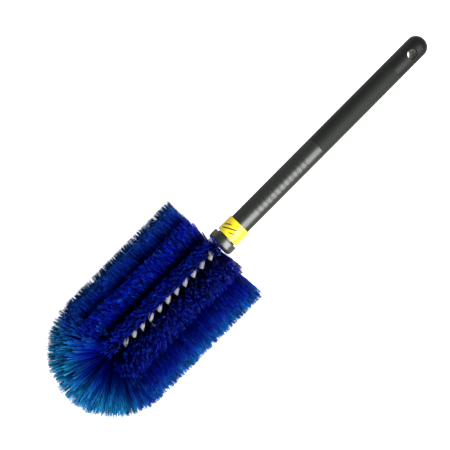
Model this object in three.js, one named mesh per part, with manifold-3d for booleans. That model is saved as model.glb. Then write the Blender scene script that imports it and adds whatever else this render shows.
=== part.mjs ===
// Long-handled wheel brush. A soft bristle head is twisted into two vinyl-sleeved steel wires. The
// twisted shank passes a moulded collar and is bonded into a plug inside the hollow handle. A
// coloured band covers the mouth of the handle, and a hole through its tail hangs it on a hook.
//
// Millimetres, +Z up. X runs along the brush towards the tail of the handle, with X = 0 half way
// along it. The brush lies level on one flat of its head, which is at Z = 0.

import * as THREE from 'three';
import { mergeVertices } from 'three/addons/utils/BufferGeometryUtils.js';
import Module from 'manifold-3d';

const wasm = await Module();
wasm.setup();

// Clearances
const TOUCH_GAP = 0.3; // between two pieces that touch
const PRESS_GAP = 0.3; // around a piece that is pushed into another

// Bristle head
const HEAD_RADIUS = 62; // to the tips of the bristles, and of the rounded tip
const HEAD_SIDES = 14; // rows of tufts around the head
const TURN_LENGTH = 11.2; // half a pitch of the twisted wires
const TURN_COUNT = 12;

// Twisted wires
const WIRE_RADIUS = 1.4;
const SLEEVE_RADIUS = 2.6;
const WIRE_END_INSET = 1; // how far the wires run into the rounded tip
const STRAND_START_ANGLE = (82 * Math.PI) / 180; // of strand a about the stem, at the tip
const STEPS_PER_TURN = 5;
const SLEEVE_SIDES = 8;
const WIRE_SIDES = 6;

// Neck collar
const NECK_STANDOFF = 3.6; // bare wires between the bristles and the collar
const COLLAR_RADIUS = 13.2;
const COLLAR_LENGTH = 10.2;
const COLLAR_SHOULDER = 4; // radius of its rounded front edge
const GROOVE_RADIUS = 9.6;
const GROOVE_LENGTH = 1.9; // from the collar to the mouth of the handle
const SPIGOT_LENGTH = 24; // how far the collar reaches into the handle

// Handle
const HANDLE_RADIUS = 10.5;
const HANDLE_WALL = 2.6;
const HANDLE_LENGTH = 260;
const TAIL_SOLID = 48; // solid length at the tail
const TAIL_ROUNDING = 9.3;
const HANDLE_SEGMENTS = 32;
const HANG_HOLE_RADIUS = 4.5;
const HANG_HOLE_INSET = 19.7; // from the end of the tail

// Raised bars on the smooth panel of the handle
const BAR_COUNT = 12;
const BAR_SPACING = 5.6;
const BAR_LENGTH = 1.8; // along the handle
const BAR_HEIGHT = 0.5;
const BAR_HALF_ANGLE = 0.4; // radians to each side of the top line
const BARS_FROM_MOUTH = 37;

// Band around the mouth of the handle
const BAND_LENGTH = 16.6;
const BAND_THICKNESS = 1.2;

// Plug inside the handle
const ANCHOR_SPACE = 10; // between the collar's spigot and the plug
const ANCHOR_LENGTH = 30;
const ANCHOR_END_WALL = 4;

// Sizes of the twisted stem that follow from the ones above
const STRAND_ORBIT = (SLEEVE_RADIUS + TOUCH_GAP / 2) / Math.cos(Math.PI / (2 * STEPS_PER_TURN));
const STRAND_LEAN = Math.atan((Math.PI * STRAND_ORBIT) / TURN_LENGTH);
const STEM_RADIUS = STRAND_ORBIT + SLEEVE_RADIUS;
const END_OVERHANG = SLEEVE_RADIUS * Math.sin(STRAND_LEAN); // of a square-cut, leaning end

// Distances along the brush from the end of its rounded tip
const HEAD_END = HEAD_RADIUS + TURN_COUNT * TURN_LENGTH;
const COLLAR_START = HEAD_END + NECK_STANDOFF;
const HANDLE_START = COLLAR_START + COLLAR_LENGTH + GROOVE_LENGTH;
const OVERALL_LENGTH = HANDLE_START + HANDLE_LENGTH;
const ANCHOR_START = HANDLE_START + SPIGOT_LENGTH + ANCHOR_SPACE;
const WIRE_START = HEAD_RADIUS - WIRE_END_INSET;
const WIRE_END = ANCHOR_START + ANCHOR_LENGTH - ANCHOR_END_WALL - END_OVERHANG - TOUCH_GAP;
const TIP_BORE_FLOOR = WIRE_START - END_OVERHANG - TOUCH_GAP;

// Sizes across the brush that follow from the ones above
const HALF_SIDE_ANGLE = Math.PI / HEAD_SIDES;
const AXIS_HEIGHT = HEAD_RADIUS * Math.cos(HALF_SIDE_ANGLE);
const BORE_RADIUS = HANDLE_RADIUS - HANDLE_WALL;
const PLUG_RADIUS = BORE_RADIUS - PRESS_GAP;

// A closed body turned about the Y axis from points of (radius, distance).
function turnedBody(profile, segments, startAngle = 0) {
  const points = profile.map(([radius, distance]) => new THREE.Vector2(radius, distance));
  return mergedShape(new THREE.LatheGeometry(points, segments, startAngle));
}

// The geometry with only its positions, and its shared vertices merged.
function mergedShape(geometry) {
  geometry.deleteAttribute('normal');
  geometry.deleteAttribute('uv');
  return mergeVertices(geometry, 1e-4);
}

function solidFrom(geometry) {
  const vertProperties = new Float32Array(geometry.attributes.position.array);
  const triVerts = new Uint32Array(geometry.index.array);
  return new wasm.Manifold(new wasm.Mesh({ numProp: 3, vertProperties, triVerts }));
}

function geometryFrom(solid) {
  const mesh = solid.getMesh();
  const geometry = new THREE.BufferGeometry();
  geometry.setAttribute('position', new THREE.BufferAttribute(mesh.vertProperties, 3));
  geometry.setIndex(new THREE.BufferAttribute(mesh.triVerts, 1));
  geometry.computeVertexNormals();
  return geometry;
}

// Radius of a bore with this many sides that clears a round piece inside it.
function clearBoreRadius(innerRadius, sides) {
  return (innerRadius + PRESS_GAP) / Math.cos(Math.PI / sides);
}

// Points of a quarter round from a flat end to the outer radius, as (radius, distance).
function quarterRound(outerRadius, rounding, steps) {
  const points = [];
  for (let step = 0; step <= steps; step += 1) {
    const angle = (step / steps) * (Math.PI / 2);
    points.push([
      outerRadius - rounding + rounding * Math.sin(angle),
      rounding - rounding * Math.cos(angle),
    ]);
  }
  return points;
}

// The tufts held by one half turn of the wires: a ring as deep as the bristles are long.
function bristleTurn() {
  const boreRadius = clearBoreRadius(STEM_RADIUS, HEAD_SIDES);
  const length = TURN_LENGTH - TOUCH_GAP;
  const profile = [
    [boreRadius, 0],
    [HEAD_RADIUS, 0],
    [HEAD_RADIUS, length],
    [boreRadius, length],
    [boreRadius, 0],
  ];
  return turnedBody(profile, HEAD_SIDES, HALF_SIDE_ANGLE);
}

// The tufts fanned over the end of the wires: a half ball with a blind bore for the wires.
function tipTuft() {
  const boreRadius = clearBoreRadius(STEM_RADIUS, HEAD_SIDES);
  const arcSteps = 7;
  const base = HEAD_RADIUS - TOUCH_GAP / 2;
  const lastAngle = Math.acos(1 - base / HEAD_RADIUS);
  const profile = [];
  for (let step = 0; step <= arcSteps; step += 1) {
    const angle = (step / arcSteps) * lastAngle;
    profile.push([HEAD_RADIUS * Math.sin(angle), HEAD_RADIUS * (1 - Math.cos(angle))]);
  }
  profile.push([boreRadius, base]);
  profile.push([boreRadius, TIP_BORE_FLOOR]);
  profile.push([0, TIP_BORE_FLOOR]);
  return turnedBody(profile, HEAD_SIDES, HALF_SIDE_ANGLE);
}

// The middle line of one strand of the twisted stem, a left-hand helix.
class StrandPath extends THREE.Curve {
  constructor(startAngle) {
    super();
    this.startAngle = startAngle;
  }

  getPoint(share, target = new THREE.Vector3()) {
    const along = share * (WIRE_END - WIRE_START);
    const angle = this.startAngle - (Math.PI * along) / TURN_LENGTH;
    const across = STRAND_ORBIT * Math.sin(angle);
    const up = STRAND_ORBIT * Math.cos(angle);
    return target.set(across, along, up);
  }
}

function regularPolygon(PolygonClass, radius, sides) {
  const polygon = new PolygonClass();
  for (let corner = 0; corner < sides; corner += 1) {
    const angle = (corner / sides) * 2 * Math.PI;
    const x = radius * Math.cos(angle);
    const y = radius * Math.sin(angle);
    if (corner === 0) {
      polygon.moveTo(x, y);
    } else {
      polygon.lineTo(x, y);
    }
  }
  polygon.closePath();
  return polygon;
}

function sweptStrand(section, startAngle) {
  const steps = Math.round((STEPS_PER_TURN * (WIRE_END - WIRE_START)) / TURN_LENGTH);
  const extrudePath = new StrandPath(startAngle);
  return mergedShape(new THREE.ExtrudeGeometry(section, { steps, extrudePath }));
}

function coreWire(startAngle) {
  return sweptStrand(regularPolygon(THREE.Shape, WIRE_RADIUS, WIRE_SIDES), startAngle);
}

// The sleeve is a tube that is open at both ends.
function wireSleeve(startAngle) {
  const section = regularPolygon(THREE.Shape, SLEEVE_RADIUS, SLEEVE_SIDES);
  const boreRadius = WIRE_RADIUS + PRESS_GAP;
  section.holes.push(regularPolygon(THREE.Path, boreRadius, WIRE_SIDES));
  return sweptStrand(section, startAngle);
}

// A ferrule: rounded shoulder, straight skirt, narrow groove, and a spigot inside the handle.
function neckCollar() {
  const boreRadius = clearBoreRadius(STEM_RADIUS, HANDLE_SEGMENTS);
  const grooveEnd = COLLAR_LENGTH + GROOVE_LENGTH - TOUCH_GAP;
  const profile = [
    [boreRadius, 0],
    ...quarterRound(COLLAR_RADIUS, COLLAR_SHOULDER, 4),
    [COLLAR_RADIUS, COLLAR_LENGTH],
    [GROOVE_RADIUS, COLLAR_LENGTH],
    [GROOVE_RADIUS, grooveEnd],
    [PLUG_RADIUS, grooveEnd],
    [PLUG_RADIUS, COLLAR_LENGTH + GROOVE_LENGTH + SPIGOT_LENGTH],
    [boreRadius, COLLAR_LENGTH + GROOVE_LENGTH + SPIGOT_LENGTH],
    [boreRadius, 0],
  ];
  return turnedBody(profile, HANDLE_SEGMENTS);
}

// A cup bonded around the end of the twisted wires.
function stemAnchor() {
  const boreRadius = clearBoreRadius(STEM_RADIUS, HANDLE_SEGMENTS);
  const profile = [
    [0, ANCHOR_LENGTH - ANCHOR_END_WALL],
    [boreRadius, ANCHOR_LENGTH - ANCHOR_END_WALL],
    [boreRadius, 0],
    [PLUG_RADIUS, 0],
    [PLUG_RADIUS, ANCHOR_LENGTH],
    [0, ANCHOR_LENGTH],
  ];
  return turnedBody(profile, HANDLE_SEGMENTS);
}

// One raised bar across the top of the smooth panel.
function panelBar() {
  const rootRadius = HANDLE_RADIUS - HANDLE_WALL / 2;
  const bar = new THREE.Shape();
  const middle = -Math.PI / 2;
  bar.absarc(0, 0, HANDLE_RADIUS + BAR_HEIGHT, middle - BAR_HALF_ANGLE, middle + BAR_HALF_ANGLE);
  bar.absarc(0, 0, rootRadius, middle + BAR_HALF_ANGLE, middle - BAR_HALF_ANGLE, true);
  const options = { depth: BAR_LENGTH, bevelEnabled: false, curveSegments: 4 };
  const geometry = new THREE.ExtrudeGeometry(bar, options);
  return mergedShape(geometry).rotateX(-Math.PI / 2);
}

// A tube with a blind bore from the mouth, a solid round tail, raised bars and the hang hole.
function handle() {
  const boreDepth = HANDLE_LENGTH - TAIL_SOLID;
  const tail = quarterRound(HANDLE_RADIUS, TAIL_ROUNDING, 6);
  const outside = tail.reverse().map(([radius, distance]) => [radius, HANDLE_LENGTH - distance]);
  const profile = [
    [0, boreDepth],
    [BORE_RADIUS, boreDepth],
    [BORE_RADIUS, 0],
    [HANDLE_RADIUS, 0],
    ...outside,
    [0, HANDLE_LENGTH],
  ];
  let solid = solidFrom(turnedBody(profile, HANDLE_SEGMENTS));
  for (let index = 0; index < BAR_COUNT; index += 1) {
    const distance = BARS_FROM_MOUTH + index * BAR_SPACING;
    solid = solid.add(solidFrom(panelBar().translate(0, distance, 0)));
  }
  const drill = new THREE.CylinderGeometry(
    HANG_HOLE_RADIUS,
    HANG_HOLE_RADIUS,
    4 * HANDLE_RADIUS,
    24,
  );
  drill.rotateX(Math.PI / 2);
  drill.translate(0, HANDLE_LENGTH - HANG_HOLE_INSET, 0);
  return geometryFrom(solid.subtract(solidFrom(mergedShape(drill))));
}

function yellowBand() {
  const boreRadius = HANDLE_RADIUS + PRESS_GAP;
  const profile = [
    [boreRadius, 0],
    [boreRadius + BAND_THICKNESS, 0],
    [boreRadius + BAND_THICKNESS, BAND_LENGTH],
    [boreRadius, BAND_LENGTH],
    [boreRadius, 0],
  ];
  return turnedBody(profile, HANDLE_SEGMENTS);
}

// Materials, one for each mesh
const bristleBlue = { color: '#0b1c74', roughness: 0.55, metalness: 0 };
const steelGrey = { color: '#8d9195', roughness: 0.35, metalness: 1 };
const sleeveGrey = { color: '#a6a8ab', roughness: 0.4, metalness: 0 };
const mouldedBlack = { color: '#1e201d', roughness: 0.45, metalness: 0 };
const bandYellow = { color: '#f3de12', roughness: 0.4, metalness: 0 };

// The brush group turns the pieces' Y axis, along which they are made, to lie along X.
const brush = new THREE.Group();
brush.rotation.z = -Math.PI / 2;
brush.position.set(-OVERALL_LENGTH / 2, 0, AXIS_HEIGHT);

function addPiece(name, geometry, finish, distance) {
  const mesh = new THREE.Mesh(geometry, new THREE.MeshStandardMaterial(finish));
  mesh.name = name;
  mesh.position.y = distance;
  brush.add(mesh);
}

addPiece('tip_tuft', tipTuft(), bristleBlue, 0);
for (let index = 0; index < TURN_COUNT; index += 1) {
  const number = String(index + 1).padStart(2, '0');
  const distance = HEAD_RADIUS + index * TURN_LENGTH + TOUCH_GAP / 2;
  addPiece(`bristle_turn_${number}`, bristleTurn(), bristleBlue, distance);
}
for (const [strand, turn] of [['a', 0], ['b', Math.PI]]) {
  const startAngle = STRAND_START_ANGLE + turn;
  addPiece(`core_wire_${strand}`, coreWire(startAngle), steelGrey, WIRE_START);
  addPiece(`wire_sleeve_${strand}`, wireSleeve(startAngle), sleeveGrey, WIRE_START);
}
addPiece('neck_collar', neckCollar(), mouldedBlack, COLLAR_START);
addPiece('stem_anchor', stemAnchor(), mouldedBlack, ANCHOR_START);
addPiece('yellow_band', yellowBand(), bandYellow, HANDLE_START);
addPiece('handle', handle(), mouldedBlack, HANDLE_START);

const part = new THREE.Group();
part.add(brush);

export default part;
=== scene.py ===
import math

import bpy
from mathutils import Matrix, Vector


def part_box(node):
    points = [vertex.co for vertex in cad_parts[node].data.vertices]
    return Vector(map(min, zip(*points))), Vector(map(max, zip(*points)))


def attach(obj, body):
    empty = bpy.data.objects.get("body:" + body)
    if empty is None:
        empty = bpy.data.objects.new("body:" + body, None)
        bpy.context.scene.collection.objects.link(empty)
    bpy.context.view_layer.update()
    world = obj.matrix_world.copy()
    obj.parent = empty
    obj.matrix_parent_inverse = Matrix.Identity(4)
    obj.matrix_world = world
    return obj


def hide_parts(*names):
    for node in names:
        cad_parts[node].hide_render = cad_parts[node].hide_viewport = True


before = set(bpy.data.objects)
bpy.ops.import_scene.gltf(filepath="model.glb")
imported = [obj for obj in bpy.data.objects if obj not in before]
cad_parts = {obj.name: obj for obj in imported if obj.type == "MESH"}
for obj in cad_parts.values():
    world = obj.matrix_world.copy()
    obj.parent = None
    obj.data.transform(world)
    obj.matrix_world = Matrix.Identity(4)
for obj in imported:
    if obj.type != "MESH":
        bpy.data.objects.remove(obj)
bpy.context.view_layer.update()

# ---------------------------------------------------------------------------------------------
# Handle. One hollow black polypropylene moulding with a solid round tail. Its neck panel is
# smooth and carries raised bars, the grip is spark-textured, and a hole goes through the tail.
# ---------------------------------------------------------------------------------------------

MM = 0.001
handle_low, handle_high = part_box("handle")
MOUTH_X = handle_low.x
TAIL_X = handle_high.x
HANDLE_RADIUS = handle_high.y
AXIS_Z = handle_low.z + HANDLE_RADIUS
HANDLE_WALL = 2.6 * MM
SOLID_TAIL = 48 * MM
BORE_RADIUS = HANDLE_RADIUS - HANDLE_WALL
BORE_END_X = TAIL_X - SOLID_TAIL
MOUTH_CHAMFER = 0.4 * MM
TAIL_ROUNDING = 9.3 * MM
HANG_HOLE_RADIUS = 4.5 * MM
HANG_HOLE_X = TAIL_X - 19.7 * MM
BAND_END_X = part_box("yellow_band")[1].x
PANEL_LENGTH = 102 * MM
GRIP_LENGTH = 99.6 * MM
GRIP_START_X = BAND_END_X + PANEL_LENGTH
GRIP_END_X = GRIP_START_X + GRIP_LENGTH
BAR_COUNT = 12
BAR_SPACING = 5.6 * MM
BAR_LENGTH = 1.8 * MM
BAR_HEIGHT = 0.5 * MM
BAR_FLANK = 0.36 * MM
BAR_HALF_ANGLE = 0.4
BAR_END_ANGLE = 0.07
BARS_START_X = MOUTH_X + 37 * MM
RIDGE_HEIGHT = 0.12 * MM
RIDGE_HALF_ANGLE = 0.01
HANDLE_SIDES = 160
DRILL_SIDES = 64
RING_STEP = 4 * MM
CLOSEST_RINGS = 0.8 * MM
# Shares of a bar's length at which the handle needs a ring of vertices.
BAR_RINGS = (-0.2, 0, 0.1, 0.2, 0.5, 0.8, 0.9, 1, 1.2)
# Heights on the hang hole's cutter above the long axis, and how much wider it is there.
HOLE_FLARE = (
    (HANDLE_RADIUS - 1.6 * MM, 0.0),
    (HANDLE_RADIUS - 0.6 * MM, 0.35 * MM),
    (HANDLE_RADIUS + 2 * MM, 1.9 * MM),
)
PANEL_BLACK = (0.007, 0.009, 0.006)
CLOUDED_BLACK = (0.011, 0.013, 0.009)
GRIP_BLACK = (0.006, 0.008, 0.006)
# Painted shade: the tail's colour is made nearly black where the light falls off towards it.
TAIL_SHADE_BLACK = (0.001, 0.001, 0.001)
# Painted shade for the hang hole's wall: the tone of a dim backdrop seen through the hole.
HOLE_SHADE_GREY = (0.12, 0.11, 0.09)


def smoothed(edge, width, value):
    """0 below edge - width / 2 and 1 above edge + width / 2, with a smooth step between."""
    share = min(max((value - edge) / width + 0.5, 0.0), 1.0)
    return share * share * (3 - 2 * share)


def around_axis(x, radius, angle):
    """A point about the brush's long axis. The angle is from straight up towards -Y."""
    return (x, -radius * math.sin(angle), AXIS_Z + radius * math.cos(angle))


def quarter_round(radius, rounding, steps):
    """(distance from a flat end, radius) round the corner from the flat to the full radius."""
    points = []
    for step in range(steps + 1):
        angle = 0.5 * math.pi * step / steps
        across = radius - rounding * (1 - math.sin(angle))
        points.append((rounding * (1 - math.cos(angle)), across))
    return points


def strip(low, high, count):
    """The faces between two rings of this many vertices, which start at low and at high."""
    faces = []
    for index in range(count):
        after = (index + 1) % count
        faces.append((low + index, low + after, high + after, high + index))
    return faces


def turned(name, profile, segments, relief=None):
    """A closed body turned about the long axis. A profile of (x, radius) that starts and ends on
    the axis gets a pole at each end, and any other profile closes on itself."""
    vertices = []
    faces = []
    rings = []
    for x, radius in profile:
        ring = []
        for index in range(1 if radius == 0 else segments):
            angle = 2 * math.pi * index / segments
            raised = relief(x, radius, angle) if relief and radius else 0.0
            ring.append(len(vertices))
            vertices.append(around_axis(x, radius + raised, angle))
        rings.append(ring)
    pairs = list(zip(rings, rings[1:]))
    if profile[0][1]:
        pairs.append((rings[-1], rings[0]))
    for first, second in pairs:
        if len(first) == len(second):
            faces += strip(first[0], second[0], segments)
            continue
        for index in range(segments):
            after = (index + 1) % segments
            if len(first) == 1:
                faces.append((first[0], second[after], second[index]))
            else:
                faces.append((first[index], first[after], second[0]))
    return new_piece(name, vertices, faces)


def new_piece(name, vertices, faces):
    """A linked mesh object with outward faces and smooth shading up to sharp edges."""
    mesh = bpy.data.meshes.new(name)
    mesh.from_pydata(vertices, [], faces)
    mesh.validate()
    piece = bpy.data.objects.new(name, mesh)
    bpy.context.scene.collection.objects.link(piece)
    if signed_volume(mesh) < 0:
        mesh.flip_normals()
    smooth_up_to(mesh, 40)
    return piece


def signed_volume(mesh):
    """Negative when the faces of a closed mesh point inwards."""
    mesh.calc_loop_triangles()
    corners = mesh.vertices
    return sum(
        corners[a].co.dot(corners[b].co.cross(corners[c].co)) / 6
        for a, b, c in (triangle.vertices for triangle in mesh.loop_triangles)
    )


def smooth_up_to(mesh, degrees):
    """Smooth shading, apart from edges that are sharper than this."""
    mesh.shade_smooth()
    mesh.set_sharp_from_angle(angle=math.radians(degrees))


def handle_relief(x, radius, angle):
    """How far the moulding stands proud of a plain round bar: raised bars and parting lines."""
    if radius < 0.9 * HANDLE_RADIUS:
        return 0.0
    from_top = abs(math.remainder(angle, 2 * math.pi))
    from_side = abs(from_top - math.pi / 2)
    raised = RIDGE_HEIGHT if from_side < RIDGE_HALF_ANGLE else 0.0
    across = 1 - smoothed(BAR_HALF_ANGLE, BAR_END_ANGLE, from_top)
    along = (x - BARS_START_X) / BAR_SPACING
    if across > 0 and -0.5 < along < BAR_COUNT - 0.5:
        from_start = (along - math.floor(along + 0.5)) * BAR_SPACING
        from_flank = min(from_start, BAR_LENGTH - from_start)
        if from_flank > -0.01 * MM:
            raised += BAR_HEIGHT * across * smoothed(BAR_FLANK / 2, BAR_FLANK, from_flank)
    return raised


def handle_profile():
    """From the end of the bore out through the mouth and along the outside to the tail."""
    inside = [(BORE_END_X, 0.0), (BORE_END_X, BORE_RADIUS), (MOUTH_X, BORE_RADIUS)]
    mouth = [(MOUTH_X, HANDLE_RADIUS - MOUTH_CHAMFER), (MOUTH_X + MOUTH_CHAMFER, HANDLE_RADIUS)]
    stations = {BAND_END_X, GRIP_START_X, GRIP_END_X}
    for index in range(BAR_COUNT):
        start = BARS_START_X + index * BAR_SPACING
        stations.update(start + share * BAR_LENGTH for share in BAR_RINGS)
    for index in range(1, int((TAIL_X - BAND_END_X) / RING_STEP)):
        x = BAND_END_X + index * RING_STEP
        if all(abs(x - other) > CLOSEST_RINGS for other in stations):
            stations.add(x)
    straight = [x for x in sorted(stations) if x < TAIL_X - 1.1 * TAIL_ROUNDING]
    outside = [(x, HANDLE_RADIUS) for x in straight]
    tail = quarter_round(HANDLE_RADIUS, TAIL_ROUNDING, 14)
    rounded = [(TAIL_X - distance, radius) for distance, radius in reversed(tail)]
    return inside + mouth + outside + rounded + [(TAIL_X, 0.0)]


def countersunk_drill():
    """A cutter for the hang hole, flared a little where it leaves the round handle."""
    upper = [(z, HANG_HOLE_RADIUS + flare) for z, flare in HOLE_FLARE]
    lower = [(-z, radius) for z, radius in reversed(upper)]
    profile = lower + upper
    vertices = []
    faces = []
    for z, radius in profile:
        for index in range(DRILL_SIDES):
            angle = 2 * math.pi * index / DRILL_SIDES
            x = HANG_HOLE_X + radius * math.cos(angle)
            vertices.append((x, radius * math.sin(angle), AXIS_Z + z))
    for ring in range(len(profile) - 1):
        faces += strip(ring * DRILL_SIDES, (ring + 1) * DRILL_SIDES, DRILL_SIDES)
    faces.append(tuple(reversed(range(DRILL_SIDES))))
    faces.append(tuple(range(len(vertices) - DRILL_SIDES, len(vertices))))
    return new_piece("drill", vertices, faces)


def cut_away(piece, cutter):
    """Takes the cutter's shape out of a piece, and the cutter out of the scene."""
    modifier = piece.modifiers.new("cut", "BOOLEAN")
    modifier.operation = "DIFFERENCE"
    modifier.solver = "EXACT"
    modifier.object = cutter
    bake_modifiers(piece)
    bpy.data.objects.remove(cutter)


def bake_modifiers(piece):
    """Replaces the mesh by what its modifiers make of it, and removes them."""
    evaluated = piece.evaluated_get(bpy.context.evaluated_depsgraph_get())
    mesh = bpy.data.meshes.new_from_object(evaluated)
    mesh.name = piece.name
    piece.modifiers.clear()
    piece.data = mesh


class Value:
    """A node socket that can be used in Python expressions, which add Math nodes."""

    def __init__(self, graph, socket):
        self.graph = graph
        self.socket = socket

    def maths(self, operation, *terms):
        settings = {"operation": operation}
        return self.graph.node("ShaderNodeMath", settings, dict(enumerate(terms)))

    def __add__(self, other):
        return self.maths("ADD", self, other)

    def __radd__(self, other):
        return self.maths("ADD", other, self)

    def __sub__(self, other):
        return self.maths("SUBTRACT", self, other)

    def __rsub__(self, other):
        return self.maths("SUBTRACT", other, self)

    def __mul__(self, other):
        return self.maths("MULTIPLY", self, other)

    def __rmul__(self, other):
        return self.maths("MULTIPLY", other, self)

    def __truediv__(self, other):
        return self.maths("DIVIDE", self, other)

    def __pow__(self, other):
        return self.maths("POWER", self, other)

    def apply(self, operation, *others):
        """This value through a Math operation that has no sign, such as SINE or MINIMUM."""
        return self.maths(operation, self, *others)

    def clamped(self, low, high):
        return self.apply("MAXIMUM", low).apply("MINIMUM", high)

    def above(self, edge, width):
        """0 well below edge and 1 well above it, over this width."""
        return ((self - edge) / width + 0.5).clamped(0, 1)

    def output(self, name):
        """Another output of the same node."""
        return Value(self.graph, self.socket.node.outputs[name])


class Graph:
    """A node tree, shader or geometry, built by expressions and by one method for all nodes."""

    def __init__(self, tree):
        self.tree = tree

    def node(self, kind, settings=None, inputs=None, output=0):
        """Adds a node: its settings first, then its sockets. Returns one of its outputs."""
        made = self.tree.nodes.new(kind)
        for name, value in (settings or {}).items():
            if name == "stops":
                self.set_stops(made.color_ramp, value)
            else:
                setattr(made, name, value)
        for name, value in (inputs or {}).items():
            self.feed(made.inputs[name], value)
        return Value(self, made.outputs[output]) if made.outputs else None

    def feed(self, socket, value):
        """Links a socket to a value, or sets it. A colour may leave out its alpha."""
        if isinstance(value, Value):
            self.tree.links.new(value.socket, socket)
        elif hasattr(socket.default_value, "__len__") and len(socket.default_value) == 4:
            socket.default_value = tuple(value) + (1.0,) * (4 - len(value))
        else:
            socket.default_value = value

    @staticmethod
    def set_stops(ramp, stops):
        while len(ramp.elements) < len(stops):
            ramp.elements.new(0.5)
        for element, (position, colour) in zip(ramp.elements, stops):
            element.position = position
            element.color = tuple(colour) + (1.0,)


class Finish(Graph):
    """A material's shader tree, with the patterns that the pieces of the brush share."""

    def __init__(self, name):
        self.material = bpy.data.materials.new(name)
        self.material.use_nodes = True
        self.material.node_tree.nodes.clear()
        super().__init__(self.material.node_tree)
        self.place = self.node("ShaderNodeTexCoord", output="Object")

    def axes(self):
        """X, Y and Z in the brush's own frame."""
        split = self.node("ShaderNodeSeparateXYZ", inputs={0: self.place})
        return [split.output(axis) for axis in "XYZ"]

    def noise(self, scale, detail=3.0, place=None):
        inputs = {"Vector": place or self.place, "Scale": scale, "Detail": detail}
        return self.node("ShaderNodeTexNoise", inputs=inputs)

    def stretched(self, x, y, z):
        """The place scaled by its axes, for a grain that runs one way."""
        inputs = {"Vector": self.place, "Scale": (x, y, z)}
        return self.node("ShaderNodeMapping", inputs=inputs)

    def blend(self, factor, first, second):
        """A colour from the first to the second. A Mix node's colours are its sockets 6 and 7."""
        inputs = {0: factor, 6: first, 7: second}
        return self.node("ShaderNodeMix", {"data_type": "RGBA"}, inputs, 2)

    def bump(self, height, distance, strength=1.0):
        inputs = {"Height": height, "Distance": distance, "Strength": strength}
        return self.node("ShaderNodeBump", inputs=inputs)

    def faced(self, edge, width):
        """1 where the surface faces the viewer, fading to 0 as it turns away."""
        turned_away = self.node("ShaderNodeLayerWeight", inputs={"Blend": 0.5}, output="Facing")
        return 1 - turned_away.above(edge, width)

    def plastic(self, **sockets):
        """A Principled shader. An underscore in a name stands for a space."""
        inputs = {name.replace("_", " "): value for name, value in sockets.items()}
        return self.node("ShaderNodeBsdfPrincipled", inputs=inputs)

    def ends_in(self, shader):
        self.node("ShaderNodeOutputMaterial", inputs={"Surface": shader})
        return self.material


def handle_plastic():
    """Carbon-black polypropylene: polished panel and tail, fine matt texture on the grip."""
    finish = Finish("handle_plastic")
    x, y, _ = finish.axes()
    from_hole = ((x - HANG_HOLE_X) ** 2 + y ** 2).apply("SQRT")
    hole_wall = 1 - from_hole.above(HANG_HOLE_RADIUS + 0.1 * MM, 0.1 * MM)
    grip = x.above(GRIP_START_X, 0.5 * MM) * (1 - x.above(GRIP_END_X, 0.5 * MM))
    tail = x.above(GRIP_END_X, 1 * MM)
    grain = finish.noise(2600, 2)
    cloud = finish.noise(38, 4)
    scuffs = finish.noise(1, 5, finish.stretched(60, 900, 900))
    worn = scuffs.above(0.63, 0.12)
    colour = finish.blend(cloud, PANEL_BLACK, CLOUDED_BLACK)
    colour = finish.blend(grip * grain, colour, GRIP_BLACK)
    # Painted shade: the tail is blended towards near-black, standing in for the light falling off
    # there.
    colour = finish.blend(0.8 * tail, colour, TAIL_SHADE_BLACK)
    # Painted shade: the hang hole's wall is painted grey-brown, standing in for the dim backdrop
    # seen through it rather than the black plastic.
    colour = finish.blend(hole_wall, colour, HOLE_SHADE_GREY)
    rough = 0.50 + 0.10 * cloud + 0.10 * worn + 0.14 * grip * grain
    polish = (1 - grip) * (1 - hole_wall) * (1 - 0.40 * tail)
    polish = polish * finish.faced(0.25, 0.30) * (0.72 - 0.25 * worn - 0.1 * cloud)
    height = grip * grain + 0.05 * (1 - grip) * finish.noise(220, 2)
    normal = finish.bump(height, 0.12 * MM, 0.9)
    sockets = {"Base_Color": colour, "Roughness": rough, "Normal": normal}
    sockets.update({"Coat_Weight": polish, "Coat_Roughness": 0.33})
    return finish.ends_in(finish.plastic(Specular_IOR_Level=0.16, **sockets))


def finished(piece, material, slot, *nodes):
    """Gives a piece its material and its body, and hides the CAD nodes that it stands for. The
    slot is not used.
    """
    piece.data.materials.clear()
    piece.data.materials.append(material)
    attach(piece, "root")
    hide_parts(*nodes)


handle = turned("handle_moulding", handle_profile(), HANDLE_SIDES, handle_relief)
cut_away(handle, countersunk_drill())
smooth_up_to(handle.data, 32)
finished(handle, handle_plastic(), "handle_plastic", "handle")

# ---------------------------------------------------------------------------------------------
# Stem anchor. A nylon cup inside the handle, bonded around the end of the twisted wires. It
# keeps its CAD shape.
# ---------------------------------------------------------------------------------------------

NYLON_BLACK = (0.030, 0.030, 0.032)
NYLON_GREY = (0.060, 0.060, 0.062)


def carried(node, material):
    """A CAD node that keeps its shape and gets a finished material."""
    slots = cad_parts[node].data.materials
    slots.clear()
    slots.append(material)


def anchor_nylon():
    """Filled black nylon, matt and slightly cloudy."""
    finish = Finish("anchor_nylon")
    cloud = finish.noise(90, 4)
    colour = finish.blend(cloud, NYLON_BLACK, NYLON_GREY)
    rough = 0.5 + 0.2 * cloud
    normal = finish.bump(finish.noise(900, 2), 0.05 * MM)
    return finish.ends_in(finish.plastic(Base_Color=colour, Roughness=rough, Normal=normal))


carried("stem_anchor", anchor_nylon())

# ---------------------------------------------------------------------------------------------
# Twisted stem. Two spring-steel wires, each in a thick pale vinyl sleeve, twisted together so
# that they pinch the bristles. The wires keep their CAD shape inside round, soft sleeves.
# ---------------------------------------------------------------------------------------------

HALF_PITCH = 11.2 * MM
SLEEVE_RADIUS = 2.6 * MM
SLEEVE_BORE = 1.7 * MM
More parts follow.
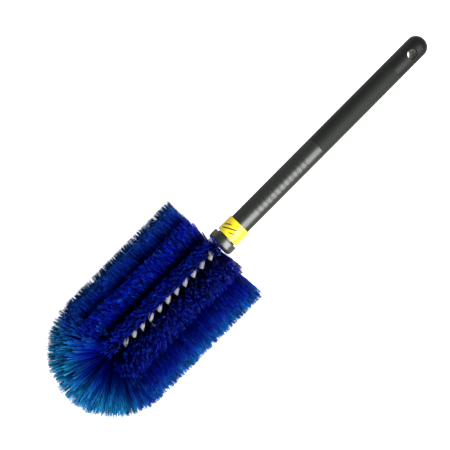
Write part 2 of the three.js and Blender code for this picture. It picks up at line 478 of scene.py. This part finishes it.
# Pieces that touch each other stand 0.3 mm apart in the CAD.
HALF_GAP = 0.15 * MM
TIP_BASE_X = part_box("tip_tuft")[1].x + HALF_GAP
WIRE_START_X = TIP_BASE_X - 1 * MM
STRAND_START = math.radians(82)
CAD_SLEEVE_SIDES = 10
STRAND_ORBIT = (SLEEVE_RADIUS + HALF_GAP) / math.cos(math.pi / CAD_SLEEVE_SIDES)
STRAND_LEAN = math.atan(math.pi * STRAND_ORBIT / HALF_PITCH)
SLEEVE_END_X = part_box("wire_sleeve_a")[1].x - SLEEVE_RADIUS * math.sin(STRAND_LEAN)
SLEEVE_SIDES = 20
SLEEVE_RINGS_PER_TURN = 24
VINYL_GREY = (0.30, 0.31, 0.33)
VINYL_PALE = (0.46, 0.47, 0.50)
STEEL_DULL = (0.42, 0.43, 0.44)
STEEL_BRIGHT = (0.62, 0.62, 0.62)


def strand_angle(x, turn):
    """Where a strand is about the stem at this place along it."""
    return STRAND_START + turn - math.pi * (x - WIRE_START_X) / HALF_PITCH


def sleeve(name, turn):
    """A vinyl tube swept along one strand, open at both ends with a real wall."""
    length = SLEEVE_END_X - WIRE_START_X
    steps = int(SLEEVE_RINGS_PER_TURN * length / (2 * HALF_PITCH))
    walls = {SLEEVE_RADIUS: [], SLEEVE_BORE: []}
    vertices = []
    for radius, rings in walls.items():
        for step in range(steps + 1):
            x = WIRE_START_X + length * step / steps
            angle = strand_angle(x, turn)
            centre = Vector(around_axis(x, STRAND_ORBIT, angle))
            outward = (centre - Vector((x, 0, AXIS_Z))).normalized()
            around = Vector((0, math.cos(angle), math.sin(angle)))
            along = Vector((1, 0, 0)) * math.cos(STRAND_LEAN) + around * math.sin(STRAND_LEAN)
            aside = along.cross(outward)
            rings.append(len(vertices))
            for side in range(SLEEVE_SIDES):
                turned_by = 2 * math.pi * side / SLEEVE_SIDES
                offset = outward * math.cos(turned_by) + aside * math.sin(turned_by)
                vertices.append(centre + offset * radius)
    outer, inner = walls.values()
    loop = outer + inner[::-1]
    faces = []
    for low, high in zip(loop, loop[1:] + loop[:1]):
        faces += strip(low, high, SLEEVE_SIDES)
    return new_piece(name, vertices, faces)


def sleeve_vinyl():
    """Soft pale grey vinyl with a satin skin, a little uneven in tone."""
    finish = Finish("sleeve_vinyl")
    cloud = finish.noise(300, 4)
    colour = finish.blend(cloud, VINYL_GREY, VINYL_PALE)
    rough = 0.34 + 0.22 * cloud
    normal = finish.bump(finish.noise(1500, 3), 0.06 * MM)
    return finish.ends_in(finish.plastic(Base_Color=colour, Roughness=rough, Normal=normal))


def drawn_steel():
    """Cold-drawn wire: fine lines along it and slight dulling."""
    finish = Finish("drawn_steel")
    lines = finish.noise(1, 3, finish.stretched(120, 4000, 4000))
    colour = finish.blend(lines, STEEL_DULL, STEEL_BRIGHT)
    rough = 0.24 + 0.22 * lines
    return finish.ends_in(finish.plastic(Base_Color=colour, Roughness=rough, Metallic=1.0))


vinyl = sleeve_vinyl()
steel = drawn_steel()
for strand, turn in (("a", 0.0), ("b", math.pi)):
    coat = sleeve(f"vinyl_sleeve_{strand}", turn)
    finished(coat, vinyl, "sleeve_vinyl", f"wire_sleeve_{strand}")
    carried(f"core_wire_{strand}", steel)

# ---------------------------------------------------------------------------------------------
# Neck collar. A black moulded ferrule with a rounded shoulder. Its spigot is pressed into the
# mouth of the handle, and a narrow groove is left between its skirt and the band.
# ---------------------------------------------------------------------------------------------

collar_low, collar_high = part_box("neck_collar")
COLLAR_RADIUS = collar_high.y
COLLAR_SIDES = 128
COLLAR_LENGTH = 10.2 * MM
COLLAR_SHOULDER = 4 * MM
COLLAR_EDGE = 0.6 * MM
STEM_CLEARANCE = 0.33 * MM
COLLAR_BORE = STRAND_ORBIT + SLEEVE_RADIUS + STEM_CLEARANCE
GROOVE_RADIUS = 9.6 * MM
GROOVE_END_X = MOUTH_X - 2 * HALF_GAP
SPIGOT_RADIUS = BORE_RADIUS - 2 * HALF_GAP
SPIGOT_TAPER_LENGTH = 0.8 * MM
SPIGOT_TAPER = 0.5 * MM
COLLAR_BLACK = (0.007, 0.008, 0.008)
COLLAR_CLOUD = (0.012, 0.013, 0.012)


def collar_profile():
    """The shoulder, the skirt, the groove and the spigot, from the bristles to the handle."""
    start = collar_low.x
    skirt_end = start + COLLAR_LENGTH
    shoulder = quarter_round(COLLAR_RADIUS, COLLAR_SHOULDER, 12)
    edge = quarter_round(COLLAR_RADIUS, COLLAR_EDGE, 4)
    profile = [(start, COLLAR_BORE)]
    profile += [(start + distance, radius) for distance, radius in shoulder]
    profile += [(skirt_end - distance, radius) for distance, radius in reversed(edge)]
    profile += [(skirt_end, GROOVE_RADIUS), (GROOVE_END_X, GROOVE_RADIUS)]
    profile += [(GROOVE_END_X, SPIGOT_RADIUS)]
    profile += [(collar_high.x - SPIGOT_TAPER_LENGTH, SPIGOT_RADIUS)]
    profile += [(collar_high.x, SPIGOT_RADIUS - SPIGOT_TAPER), (collar_high.x, COLLAR_BORE)]
    return profile


def collar_plastic():
    """Black plastic with a soft gloss where it is seen face on."""
    finish = Finish("collar_plastic")
    cloud = finish.noise(60, 4)
    colour = finish.blend(cloud, COLLAR_BLACK, COLLAR_CLOUD)
    rough = 0.50 + 0.12 * cloud
    polish = finish.faced(0.45, 0.4) * (0.95 - 0.15 * cloud)
    normal = finish.bump(finish.noise(700, 2), 0.04 * MM)
    sockets = {"Base_Color": colour, "Roughness": rough, "Normal": normal}
    sockets.update({"Coat_Weight": polish, "Coat_Roughness": 0.30})
    return finish.ends_in(finish.plastic(Specular_IOR_Level=0.2, **sockets))


collar = turned("neck_ferrule", collar_profile(), COLLAR_SIDES)
finished(collar, collar_plastic(), "collar_plastic", "neck_collar")

# ---------------------------------------------------------------------------------------------
# Yellow band. A snug ring of flexible yellow vinyl over the mouth of the handle, with a plain
# printed mark of slanted strokes.
# ---------------------------------------------------------------------------------------------

band_low, band_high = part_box("yellow_band")
BAND_RADIUS = band_high.y
BAND_SIDES = 128
BAND_BORE = HANDLE_RADIUS + 2 * HALF_GAP
BAND_EDGE = 0.45 * MM
BAND_MIDDLE_X = 0.5 * (band_low.x + band_high.x)
STROKE_SPACING = 4.4 * MM
# The printed mark's middle along and across the band, and half its length and width.
MARK_MIDDLE = (-1.0 * MM, -7.5 * MM)
MARK_HALF_SIZE = (3.6 * MM, 8 * MM)
# The two faint amber rings of painted shade around the band: their middle and how far each is
# from it.
SHADE_RINGS_MIDDLE = -1.6 * MM
SHADE_RINGS_APART = 5.2 * MM
SHADE_RING_WIDTH = 0.8 * MM
BAND_YELLOW = (0.74, 0.56, 0.008)
BAND_BRIGHT = (0.80, 0.63, 0.012)
SHADE_RING_AMBER = (0.5, 0.2, 0.0)
INK_BROWN = (0.05, 0.03, 0.01)


def band_profile():
    """A plain ring with rounded outer edges."""
    edge = quarter_round(BAND_RADIUS, BAND_EDGE, 5)
    profile = [(band_low.x, BAND_BORE)]
    profile += [(band_low.x + distance, radius) for distance, radius in edge]
    profile += [(band_high.x - distance, radius) for distance, radius in reversed(edge)]
    profile += [(band_high.x, BAND_BORE)]
    return profile


def band_vinyl():
    """Yellow vinyl with brown printed strokes and two faint amber rings of painted shade."""
    finish = Finish("band_vinyl")
    x, y, z = finish.axes()
    along = x - BAND_MIDDLE_X
    across = (-1 * y).apply("ARCTAN2", z - AXIS_Z) * BAND_RADIUS
    slanted = (along - 0.5 * across) / STROKE_SPACING
    from_stroke = (slanted - slanted.apply("FLOOR") - 0.5).apply("ABSOLUTE")
    ink = 1 - from_stroke.above(0.2, 0.06)
    for place, middle, half_size in zip((along, across), MARK_MIDDLE, MARK_HALF_SIZE):
        ink *= 1 - (place - middle).apply("ABSOLUTE").above(half_size, 0.2 * MM)
    # Painted shade: two faint amber rings darken the yellow across the band.
    from_shade_ring = ((along - SHADE_RINGS_MIDDLE).apply("ABSOLUTE") - SHADE_RINGS_APART).apply("ABSOLUTE")
    lines = (1 - from_shade_ring / SHADE_RING_WIDTH).clamped(0, 1)
    cloud = finish.noise(120, 4)
    yellow = finish.blend(cloud, BAND_YELLOW, BAND_BRIGHT)
    yellow = finish.blend(0.25 * lines, yellow, SHADE_RING_AMBER)
    colour = finish.blend(0.9 * ink, yellow, INK_BROWN)
    rough = 0.33 + 0.1 * cloud + 0.1 * ink
    normal = finish.bump(finish.noise(500, 3), 0.05 * MM)
    sockets = {"Base_Color": colour, "Roughness": rough, "Normal": normal}
    return finish.ends_in(finish.plastic(Specular_IOR_Level=0.35, **sockets))


band = turned("yellow_ring", band_profile(), BAND_SIDES)
finished(band, band_vinyl(), "band_plastic", "yellow_band")

# ---------------------------------------------------------------------------------------------
# Bristles. Soft blue polyester filaments, pinched between the wires as through-going tufts.
# Each half turn of the stem holds one tuft for every row around the head, in the slot between
# the sleeves, and each tuft fans out in clumps until the trimmed tips fill the round head.
# ---------------------------------------------------------------------------------------------

TURN_COUNT = 12
REAR_X = TIP_BASE_X + TURN_COUNT * HALF_PITCH
ROW_COUNT = 14
ROW_STEP = 2 * math.pi / ROW_COUNT
CLUMPS_PER_TUFT = 36
FILAMENTS_PER_CLUMP = 8
FILAMENT_RADIUS = 0.21 * MM
FILAMENT_POINTS = 4
FILAMENT_SIDES = 3
ROOT_RADIUS = 1.2 * MM
LONGEST = 63.2 * MM
TRIMMED = 11 * MM
SIDE_DROOP = 6.5 * MM
GOLDEN_SHARE = 0.618034
# The rows stand wider apart near the parting. The first and the last row are pushed off it, so
# that the stem shows, but not over the last PARTING_RUN before the collar.
PARTING_ANGLE = math.radians(-3.4)
ROW_SPREAD = math.radians(4.5)
PARTING_PUSH = math.radians(5.8)
PARTING_PULL = math.radians(6.2)
PARTING_RUN = 0.7 * HALF_PITCH
FAN_HALF_ANGLE = 0.345 * ROW_STEP
FAN_HALF_LENGTH = 0.54 * HALF_PITCH
# At the rear the tufts lean towards the collar, mostly those on the upper side. At the front the
# upper ones lean back from the crater, and those at the sides lean forward over the tip.
CROWN_ANGLE = math.radians(-13.3)
REAR_RUN = 3 * HALF_PITCH
REAR_LEAN = 5.4 * MM
FRONT_RUN = 2.5 * HALF_PITCH
FRONT_LEAN = 9 * MM
SIDE_LEAN = 12 * MM
SHORT_SHARE = 0.12
PALE_SHARE = 0.06
FADED_SHARE = 0.03
# The body's blue from root to tip, darker towards the root as painted shade deep in the head, and
# the colour of the light that comes through.
ROYAL_BLUE = (
    (0.0, (0.0, 0.001, 0.06)),
    (0.5, (0.002, 0.003, 0.54)),
    (0.85, (0.003, 0.003, 0.66)),
    (1.0, (0.005, 0.006, 0.70)),
)
# The clear blue's cyan tip is painted backlight.
CLEAR_AND_BACKLIT_BLUE = (
    (0.0, (0.0, 0.001, 0.06)),
    (0.5, (0.001, 0.012, 0.52)),
    (0.8, (0.001, 0.15, 0.66)),
    (1.0, (0.04, 0.66, 0.95)),
)
SHADED_NAVY = (0.0002, 0.0012, 0.04)
ROYAL_GLOW = (0.03, 0.18, 0.80)
CLEAR_GLOW = (0.06, 0.80, 0.98)
ROOT_GLOW = (0.0, 0.004, 0.5)
SHADED_GLOW = (0.0, 0.02, 0.2)


class GeometryGraph(Graph):
    """A Geometry Nodes tree with named inputs, and the nodes that the bristles use."""

    def __init__(self, name, sizes):
        tree = bpy.data.node_groups.new(name, "GeometryNodeTree")
        super().__init__(tree)
        interface = tree.interface
        interface.new_socket("Geometry", in_out="OUTPUT", socket_type="NodeSocketGeometry")
        self.given = {}
        for label, value in sizes.items():
            whole = isinstance(value, int)
            kind = "NodeSocketInt" if whole else "NodeSocketFloat"
            socket = interface.new_socket(label, in_out="INPUT", socket_type=kind)
            socket.default_value = value
            self.given[label] = socket.identifier
        self.entry = self.node("NodeGroupInput")
        self.index = self.node("GeometryNodeInputIndex")

    def size(self, label):
        """A named input of the tree."""
        return self.entry.output(label)

    def random(self, low, high, seed, each=None):
        """A random value for each filament, or for each number of a clump, tuft or row."""
        settings = {"data_type": "FLOAT"}
        seeded = self.size("Seed") + seed
        inputs = {2: low, 3: high, 7: each or self.index, 8: seeded}
        return self.node("FunctionNodeRandomValue", settings, inputs, 1)

    def centred(self, spread, seed, each=None):
        """A random value from -spread to spread that favours the middle."""
        first = self.random(-0.5, 0.5, seed, each)
        return (first + self.random(-0.5, 0.5, seed + 1, each)) * spread

    def stored(self, geometry, name, value):
        """Keeps a value on each point, where later nodes and the material can read it."""
        settings = {"data_type": "FLOAT", "domain": "POINT"}
        inputs = {"Geometry": geometry, "Name": name, "Value": value}
        return self.node("GeometryNodeStoreNamedAttribute", settings, inputs)

    def all_stored(self, points, values):
        """Keeps each of these values under its name."""
        for name, value in values.items():
            points = self.stored(points, name, value)
        return points

    def named(self, name):
        """A value that was stored under this name."""
        settings = {"data_type": "FLOAT"}
        return self.node("GeometryNodeInputNamedAttribute", settings, {"Name": name})

    def lines_on(self, points):
        """One line of a few points for each of these points, with its share along stored."""
        line = self.node("GeometryNodeCurvePrimitiveLine", inputs={"End": (0, 0, 1)})
        inputs = {"Curve": line, "Count": FILAMENT_POINTS}
        line = self.node("GeometryNodeResampleCurve", inputs=inputs)
        inputs = {"Points": points, "Instance": line}
        placed = self.node("GeometryNodeInstanceOnPoints", inputs=inputs)
        curves = self.node("GeometryNodeRealizeInstances", inputs={0: placed})
        return self.stored(curves, "along", self.node("GeometryNodeSplineParameter"))

    def grown_in(self, curves, x, y, z, material):
        """Moves the curve points to these places and sweeps a slender filament along them."""
        above_floor = z.apply("MAXIMUM", 0.2 * MM)
        place = self.node("ShaderNodeCombineXYZ", inputs={0: x, 1: y, 2: above_floor})
        inputs = {"Geometry": curves, "Position": place}
        curves = self.node("GeometryNodeSetPosition", inputs=inputs)
        settings = {"mode": "RADIUS"}
        inputs = {"Resolution": FILAMENT_SIDES, "Radius": FILAMENT_RADIUS}
        section = self.node("GeometryNodeCurvePrimitiveCircle", settings, inputs)
        inputs = {"Curve": curves, "Profile Curve": section, "Fill Caps": True}
        mesh = self.node("GeometryNodeCurveToMesh", inputs=inputs)
        real = self.node("GeometryNodeRealizeInstances", inputs={0: mesh})
        inputs = {"Geometry": real, "Material": material}
        painted = self.node("GeometryNodeSetMaterial", inputs=inputs)
        self.node("NodeGroupOutput", inputs={0: painted})
        return self


def row_tufts(material):
    """The tree for the tufts of one half turn of the stem. A filament's clump and row follow from
    its index, and its bend from the values that are stored on its point."""
    sizes = {"Start": 0.0, "Seed": 0}
    sizes.update({"Clumps": CLUMPS_PER_TUFT, "Filaments": FILAMENTS_PER_CLUMP})
    graph = GeometryGraph("row_tufts", sizes)
    per_clump = graph.size("Filaments")
    per_tuft = graph.size("Clumps")
    points = graph.node("GeometryNodePoints", inputs={"Count": per_clump * per_tuft * ROW_COUNT})
    clump = (graph.index / per_clump).apply("FLOOR")
    row = (clump / per_tuft).apply("FLOOR")

    # Root: where the slot between the two strands comes round to this row.
    from_parting = (row + 0.5) * ROW_STEP
    row_angle = from_parting + PARTING_ANGLE + from_parting.apply("SINE") * ROW_SPREAD
    turn_share = ((0.5 * math.pi + STRAND_START) - row_angle) / math.pi
    turn_share = (turn_share + (WIRE_START_X - TIP_BASE_X) / HALF_PITCH).apply("FRACT")
    root_x = graph.size("Start") + turn_share * HALF_PITCH

    # Fan: each clump's place across the row and along the stem.
    in_tuft = (clump - row * per_tuft + 0.5) / per_tuft
    to_side = 2 * (clump * GOLDEN_SHARE).apply("FRACT") - 1 + graph.centred(0.14, 1, clump)
    to_side = to_side + graph.centred(0.075, 3)
    widened = 1 + from_parting.apply("COSINE") * ROW_SPREAD
    fan_angle = to_side * widened * FAN_HALF_ANGLE
    along_fan = (2 * in_tuft - 1 + graph.centred(0.16, 5, clump)) * FAN_HALF_LENGTH
    tip_x = root_x + along_fan + graph.centred(0.65 * MM, 7) + graph.centred(2.2 * MM, 23, row)

    # Parting: the last row is pushed away from it and the first row pulled away from it.
    in_lane = ((REAR_X - tip_x) / PARTING_RUN).clamped(0, 1)
    before_parting = (ROW_COUNT - 0.5 - row) * ROW_STEP - fan_angle
    pushed = (1 - before_parting / ROW_STEP).apply("MAXIMUM", 0) * in_lane
    after_parting = (row + 0.5) * ROW_STEP + fan_angle
    pulled = (1 - after_parting / ROW_STEP).apply("MAXIMUM", 0) * in_lane
    fan_angle = fan_angle - pushed * PARTING_PUSH - pulled * PARTING_PULL
    fan_angle = fan_angle + graph.centred(0.022, 21, row)

    # Undergrowth: some filaments are short and spread wide, but none beside the parting.
    from_middle_row = (row - 0.5 * (ROW_COUNT - 1)).apply("ABSOLUTE")
    beside_parting = from_middle_row.above(0.5 * ROW_COUNT - 1, 0.1)
    short = graph.random(0, 1, 25).above(1 - SHORT_SHARE, 0.01) * (1 - beside_parting)
    fan_angle = fan_angle * (1 + 0.7 * short)

    # Lean at the two ends of the head, evened out over the half turn that the roots follow.
    level = (row_angle - CROWN_ANGLE).apply("COSINE").apply("MAXIMUM", 0)
    uneven = (0.46 - turn_share) * HALF_PITCH
    at_rear = (1 - (REAR_X - tip_x) / REAR_RUN).clamped(0, 1) ** 2
    lean = at_rear * (uneven + level.above(0.81, 0.14) * REAR_LEAN)
    at_front = (1 - (tip_x - TIP_BASE_X) / FRONT_RUN).clamped(0, 1)
    crater_lean = level ** 2 * FRONT_LEAN * graph.random(0.1, 1, 32, clump)
    lean = lean + at_front * (crater_lean + at_front * (uneven + 0.04 * HALF_PITCH))
    side_lean = (1 - level ** 2) * SIDE_LEAN * graph.random(0, 1, 29, clump)
    lean = lean - at_front ** 2 * side_lean

    # Length, and how clear the blue is: most at the head's sides, where it is painted backlight
    # and stronger in a few pale clumps, and in a few faded filaments.
    drooped = (to_side * to_side) ** 1.5
    reach = LONGEST - drooped * SIDE_DROOP - graph.random(0, 1, 15) ** 2.4 * TRIMMED
    pale = graph.random(0, 1, 30, clump).above(1 - PALE_SHARE, 0.02)
    faded = graph.random(0, 1, 34).above(1 - FADED_SHARE, 0.01) * 0.45
    to_crown = (row_angle + fan_angle - CROWN_ANGLE).apply("COSINE")
    # Painted backlight: away from the crown, at the head's sides, the blue is made clearer and
    # cyan, more so in the few pale clumps.
    at_side = (1 - to_crown).above(0.55, 0.5)
    values = {
        "row_angle": row_angle,
        "fan_angle": fan_angle,
        "sway_angle": graph.centred(0.012, 9) + graph.centred(0.03, 19, clump),
        "root_x": root_x + graph.centred(1.3 * MM, 11),
        "fan_x": tip_x + lean - root_x,
        "sway_x": graph.centred(0.5 * MM, 13),
        "reach": reach * (1 - short * graph.random(0.35, 0.6, 26)),
        "shade": graph.random(0, 1, 16, clump) ** 1.8 * 0.85 + graph.random(0, 0.15, 17),
        "thin": graph.random(0, 0.07, 18, clump) + faded + at_side * (0.36 + 0.5 * pale),
    }
    curves = graph.lines_on(graph.all_stored(points, values))

    # Each filament leaves the stem, opens into the fan and sways a little towards its tip.
    share = graph.named("along")
    bent = share * share
    radius = ROOT_RADIUS + (graph.named("reach") - ROOT_RADIUS) * share
    angle = graph.named("row_angle") + graph.named("fan_angle") * share ** 0.85
    angle = angle + graph.named("sway_angle") * bent
    x = graph.named("root_x") + graph.named("fan_x") * share ** 0.6
    x = x + graph.named("sway_x") * bent
    y = -1 * radius * angle.apply("SINE")
    z = AXIS_Z + radius * angle.apply("COSINE")
    return graph.grown_in(curves, x, y, z, material)


def grown(name, graph, **sizes):
    """Runs a geometry tree and keeps its result as a plain mesh."""
    mesh = bpy.data.meshes.new(name)
    piece = bpy.data.objects.new(name, mesh)
    bpy.context.scene.collection.objects.link(piece)
    modifier = piece.modifiers.new("grow", "NODES")
    modifier.node_group = graph.tree
    for label, value in sizes.items():
        modifier[graph.given[label]] = value
    bake_modifiers(piece)
    piece.data.shade_smooth()
    return piece


class FilamentFinish(Finish):
    """A finish that reads what is stored on the filaments, and lets light through them."""

    def attribute(self, name):
        return self.node("ShaderNodeAttribute", {"attribute_name": name}, output="Fac")

    def glow(self, colour):
        """A shader for light of this colour that comes through from behind."""
        return self.node("ShaderNodeBsdfTranslucent", inputs={"Color": colour})

    def mixed(self, factor, first, second):
        """A shader from the first to the second."""
        return self.node("ShaderNodeMixShader", inputs={0: factor, 1: first, 2: second})


def bristle_blue():
    """Translucent blue filament: deep navy in painted shade towards its root and in shaded
    clumps, and painted clear cyan at its tip as backlight at the head's sides.
    """
    finish = FilamentFinish("bristle_blue")
    along, shade, thin = (finish.attribute(name) for name in ("along", "shade", "thin"))
    # Painted shade: both ramps run dark at the root, deep in the head, and brighten towards the
    # tip.
    royal = finish.node("ShaderNodeValToRGB", {"stops": ROYAL_BLUE}, {0: along})
    clear = finish.node("ShaderNodeValToRGB", {"stops": CLEAR_AND_BACKLIT_BLUE}, {0: along})
    # Painted backlight: where the stored share of clear, backlit blue is high, the tips turn
    # clear cyan and the light that comes through is tinted cyan too.
    body = finish.blend(thin, royal, clear)
    deeper = finish.blend(shade ** 0.7, body, SHADED_NAVY)
    rough = 0.36 + 0.2 * shade
    shine = finish.plastic(Base_Color=deeper, Roughness=rough, Specular_IOR_Level=0.2)
    glow = finish.mixed(thin, finish.glow(ROYAL_GLOW), finish.glow(CLEAR_GLOW))
    glow = finish.mixed(along ** 5, finish.glow(ROOT_GLOW), glow)
    glow = finish.mixed(0.6 * shade, glow, finish.glow(SHADED_GLOW))
    return finish.ends_in(finish.mixed(0.5, shine, glow))


blue = bristle_blue()
tuft_graph = row_tufts(blue)
for index in range(TURN_COUNT):
    node = f"bristle_turn_{index + 1:02d}"
    start = TIP_BASE_X + index * HALF_PITCH
    tufts = grown(f"tufts_{index + 1:02d}", tuft_graph, Start=start, Seed=100 * index)
    finished(tufts, blue, "bristle", node)

# ---------------------------------------------------------------------------------------------
# Tip tuft. The last filaments fan out over the end of the wires in clumps, so that no metal
# shows and the head ends in a half ball.
# ---------------------------------------------------------------------------------------------

TIP_CLUMPS = 1500
TIP_CLUMPS_PER_PIECE = TIP_CLUMPS // 2
TIP_FILAMENTS_PER_CLUMP = 8
TIP_ROOT_X = TIP_BASE_X + 1 * MM
TIP_TRIMMED = 12 * MM
CRATER_ANGLE = math.radians(-9)
CRATER_WIDTH = math.radians(32)
TUFTS_PER_RADIAN = 9


def tip_tufts(material):
    """The tree for one half of the tip: clumps on a spiral of even steps over a half ball. They
    lean away from the end of the parting, which leaves a shallow crater there."""
    sizes = {"First": 0, "Seed": 0, "Clumps": TIP_CLUMPS_PER_PIECE}
    sizes["Filaments"] = TIP_FILAMENTS_PER_CLUMP
    graph = GeometryGraph("tip_tufts", sizes)
    per_clump = graph.size("Filaments")
    points = graph.node("GeometryNodePoints", inputs={"Count": per_clump * graph.size("Clumps")})
    clump = (graph.index / per_clump).apply("FLOOR") + graph.size("First")

    # Direction: the spiral runs from straight ahead to a little behind the end of the stem.
    forward = 1 - 1.1 * (clump + 0.5) / TIP_CLUMPS + graph.centred(0.03, 1, clump)
    forward = (forward + graph.centred(0.02, 3)).clamped(-0.14, 0.998)
    outward = (1 - forward * forward).apply("SQRT")
    around = clump * (2 * math.pi * GOLDEN_SHARE) + graph.centred(0.08, 5, clump)
    around = around + graph.centred(0.022, 7) / (outward + 0.1)
    y = -1 * outward * around.apply("SINE")
    z = outward * around.apply("COSINE")

    # Crater: every direction turns away from the crater's middle, most of all beside it.
    crater_y, crater_z = -math.sin(CRATER_ANGLE), math.cos(CRATER_ANGLE)
    level = (y * crater_y + z * crater_z).clamped(-0.999, 0.999)
    from_crater = level.apply("ARCCOSINE")
    pushed = (1 - from_crater / (0.5 * math.pi)).apply("MAXIMUM", 0) * CRATER_WIDTH
    pushed = pushed * graph.random(0.55, 1, 31, clump)
    leaning = from_crater + pushed
    kept = leaning.apply("SINE") / from_crater.apply("SINE")
    added = leaning.apply("COSINE") - level * kept

    # Tufts: filaments side by side share their length, their shade and how clear they are.
    tuft = (y.apply("ARCTAN2", forward) * TUFTS_PER_RADIAN + level * 1.5).apply("FLOOR")
    trimmed = graph.random(0, 0.6, 24, clump) + graph.random(0, 1, 27, tuft) ** 4 * 8
    clear = graph.random(0.42, 0.85, 19, clump) + graph.random(0, 1, 33, tuft) ** 3 * 0.4
    clump_shade = graph.random(0, 1, 17, clump) ** 1.8 * 0.5
    tuft_shade = graph.random(0, 1, 28, tuft) ** 2 * 0.5
    values = {
        "way_x": -1 * forward * kept,
        "way_y": y * kept + added * crater_y,
        "way_z": z * kept + added * crater_z,
        "sway_x": graph.centred(0.8 * MM, 9),
        "sway_y": graph.centred(0.8 * MM, 11),
        "sway_z": graph.centred(0.8 * MM, 13),
        "reach": LONGEST - graph.random(0, 1, 15) ** 1.6 * TIP_TRIMMED - trimmed * MM,
        "root_x": graph.random(-1, 2, 16) * MM,
        "shade": clump_shade + tuft_shade + graph.random(0, 0.1, 18),
        # Painted backlight: the clear cyan is strongest on filaments that point straight ahead,
        # at the front of the fan.
        "thin": clear * (forward / 0.3).clamped(0.3, 1),
    }
    curves = graph.lines_on(graph.all_stored(points, values))

    # Each filament leaves the end of the stem in its direction and sways towards its tip.
    share = graph.named("along")
    bent = share * share
    reach = ROOT_RADIUS * (1 - share) + graph.named("reach") * share
    x = TIP_ROOT_X - graph.named("root_x") * (1 - share) + graph.named("way_x") * reach
    x = x + graph.named("sway_x") * bent
    y = graph.named("way_y") * reach + graph.named("sway_y") * bent
    z = AXIS_Z + graph.named("way_z") * reach + graph.named("sway_z") * bent
    return graph.grown_in(curves, x, y, z, material)


tip_graph = tip_tufts(blue)
for index, half in enumerate(("fore", "side")):
    first = index * TIP_CLUMPS_PER_PIECE
    seed = 5000 + 1000 * index
    count = TIP_CLUMPS_PER_PIECE
    fan = grown(f"tip_fan_{half}", tip_graph, First=first, Seed=seed, Clumps=count)
    finished(fan, blue, "bristle", "tip_tuft")

# ---------------------------------------------------------------------------------------------
# Studio. A wide, pale floor that shines evenly, as a lit table does, one large soft light over
# the brush on its lower side, and an even, dim sky.
# ---------------------------------------------------------------------------------------------

FLOOR_HALF_WIDTH = 6.0
FLOOR_GREY = (0.20, 0.20, 0.20)
FLOOR_PALE = (0.22, 0.22, 0.22)
FLOOR_SHINE = 0.98
LIGHT_PLACE = (-0.04, -0.60, 1.08)
LIGHT_TARGET = (-0.06, 0, 0.06)
LIGHT_SIZE = (0.8, 1.3)
LIGHT_WATTS = 54
SKY_STRENGTH = 0.33


def floor_paint():
    """Matt pale paint, lit from below so that it holds hardly any shadow."""
    finish = Finish("floor_paint")
    colour = finish.blend(finish.noise(2, 2), FLOOR_GREY, FLOOR_PALE)
    sockets = {"Base_Color": colour, "Roughness": 0.9}
    sockets.update({"Emission_Color": (1, 1, 1), "Emission_Strength": FLOOR_SHINE})
    return finish.ends_in(finish.plastic(**sockets))


def soft_light(name, place, target, size, power):
    """A rectangular lamp that faces its target."""
    data = bpy.data.lights.new(name, "AREA")
    data.shape = "RECTANGLE"
    data.size, data.size_y = size
    data.energy = power
    light = bpy.data.objects.new(name, data)
    light.location = place
    light.rotation_euler = (Vector(target) - Vector(place)).to_track_quat("-Z", "Y").to_euler()
    bpy.context.scene.collection.objects.link(light)


corners = [
    (side_x * FLOOR_HALF_WIDTH, side_y * FLOOR_HALF_WIDTH, 0)
    for side_x, side_y in ((-1, -1), (1, -1), (1, 1), (-1, 1))
]
floor = new_piece("floor", corners, [(0, 1, 2, 3)])
floor.data.materials.append(floor_paint())

soft_light("key", LIGHT_PLACE, LIGHT_TARGET, LIGHT_SIZE, LIGHT_WATTS)
world = bpy.data.worlds.new("studio")
world.use_nodes = True
sky = world.node_tree.nodes["Background"].inputs
sky["Color"].default_value = (1, 1, 1, 1)
sky["Strength"].default_value = SKY_STRENGTH
bpy.context.scene.world = world
bpy.context.scene.view_settings.view_transform = "Standard"

# ---------------------------------------------------------------------------------------------
# Camera. It looks nearly straight down on the brush, with a long lens, and is rolled so that
# the handle runs to the upper right.
# ---------------------------------------------------------------------------------------------

VIEW_LEAN = math.radians(13.3)
HANDLE_SLOPE = math.radians(45.17)
FOCAL_MM = 65
VIEW_WIDTH = 421 * MM
AIM_X = -17.5 * MM
AIM_ASIDE = 9.3 * MM


def add_camera():
    """Places the camera from the width that it sees at the brush's long axis."""
    towards_camera = Vector((0, math.sin(VIEW_LEAN), math.cos(VIEW_LEAN)))
    along = Vector((1, 0, 0))
    across = along.cross(towards_camera)
    right = along * math.cos(HANDLE_SLOPE) + across * math.sin(HANDLE_SLOPE)
    up = along * math.sin(HANDLE_SLOPE) - across * math.cos(HANDLE_SLOPE)
    data = bpy.data.cameras.new("camera")
    data.lens = FOCAL_MM
    distance = VIEW_WIDTH * FOCAL_MM / data.sensor_width
    aim = Vector((AIM_X, 0, AXIS_Z)) - across * AIM_ASIDE
    camera = bpy.data.objects.new("camera", data)
    turned_view = Matrix((right, up, towards_camera)).transposed().to_4x4()
    camera.matrix_world = Matrix.Translation(aim + towards_camera * distance) @ turned_view
    bpy.context.scene.collection.objects.link(camera)
    bpy.context.scene.camera = camera


add_camera()
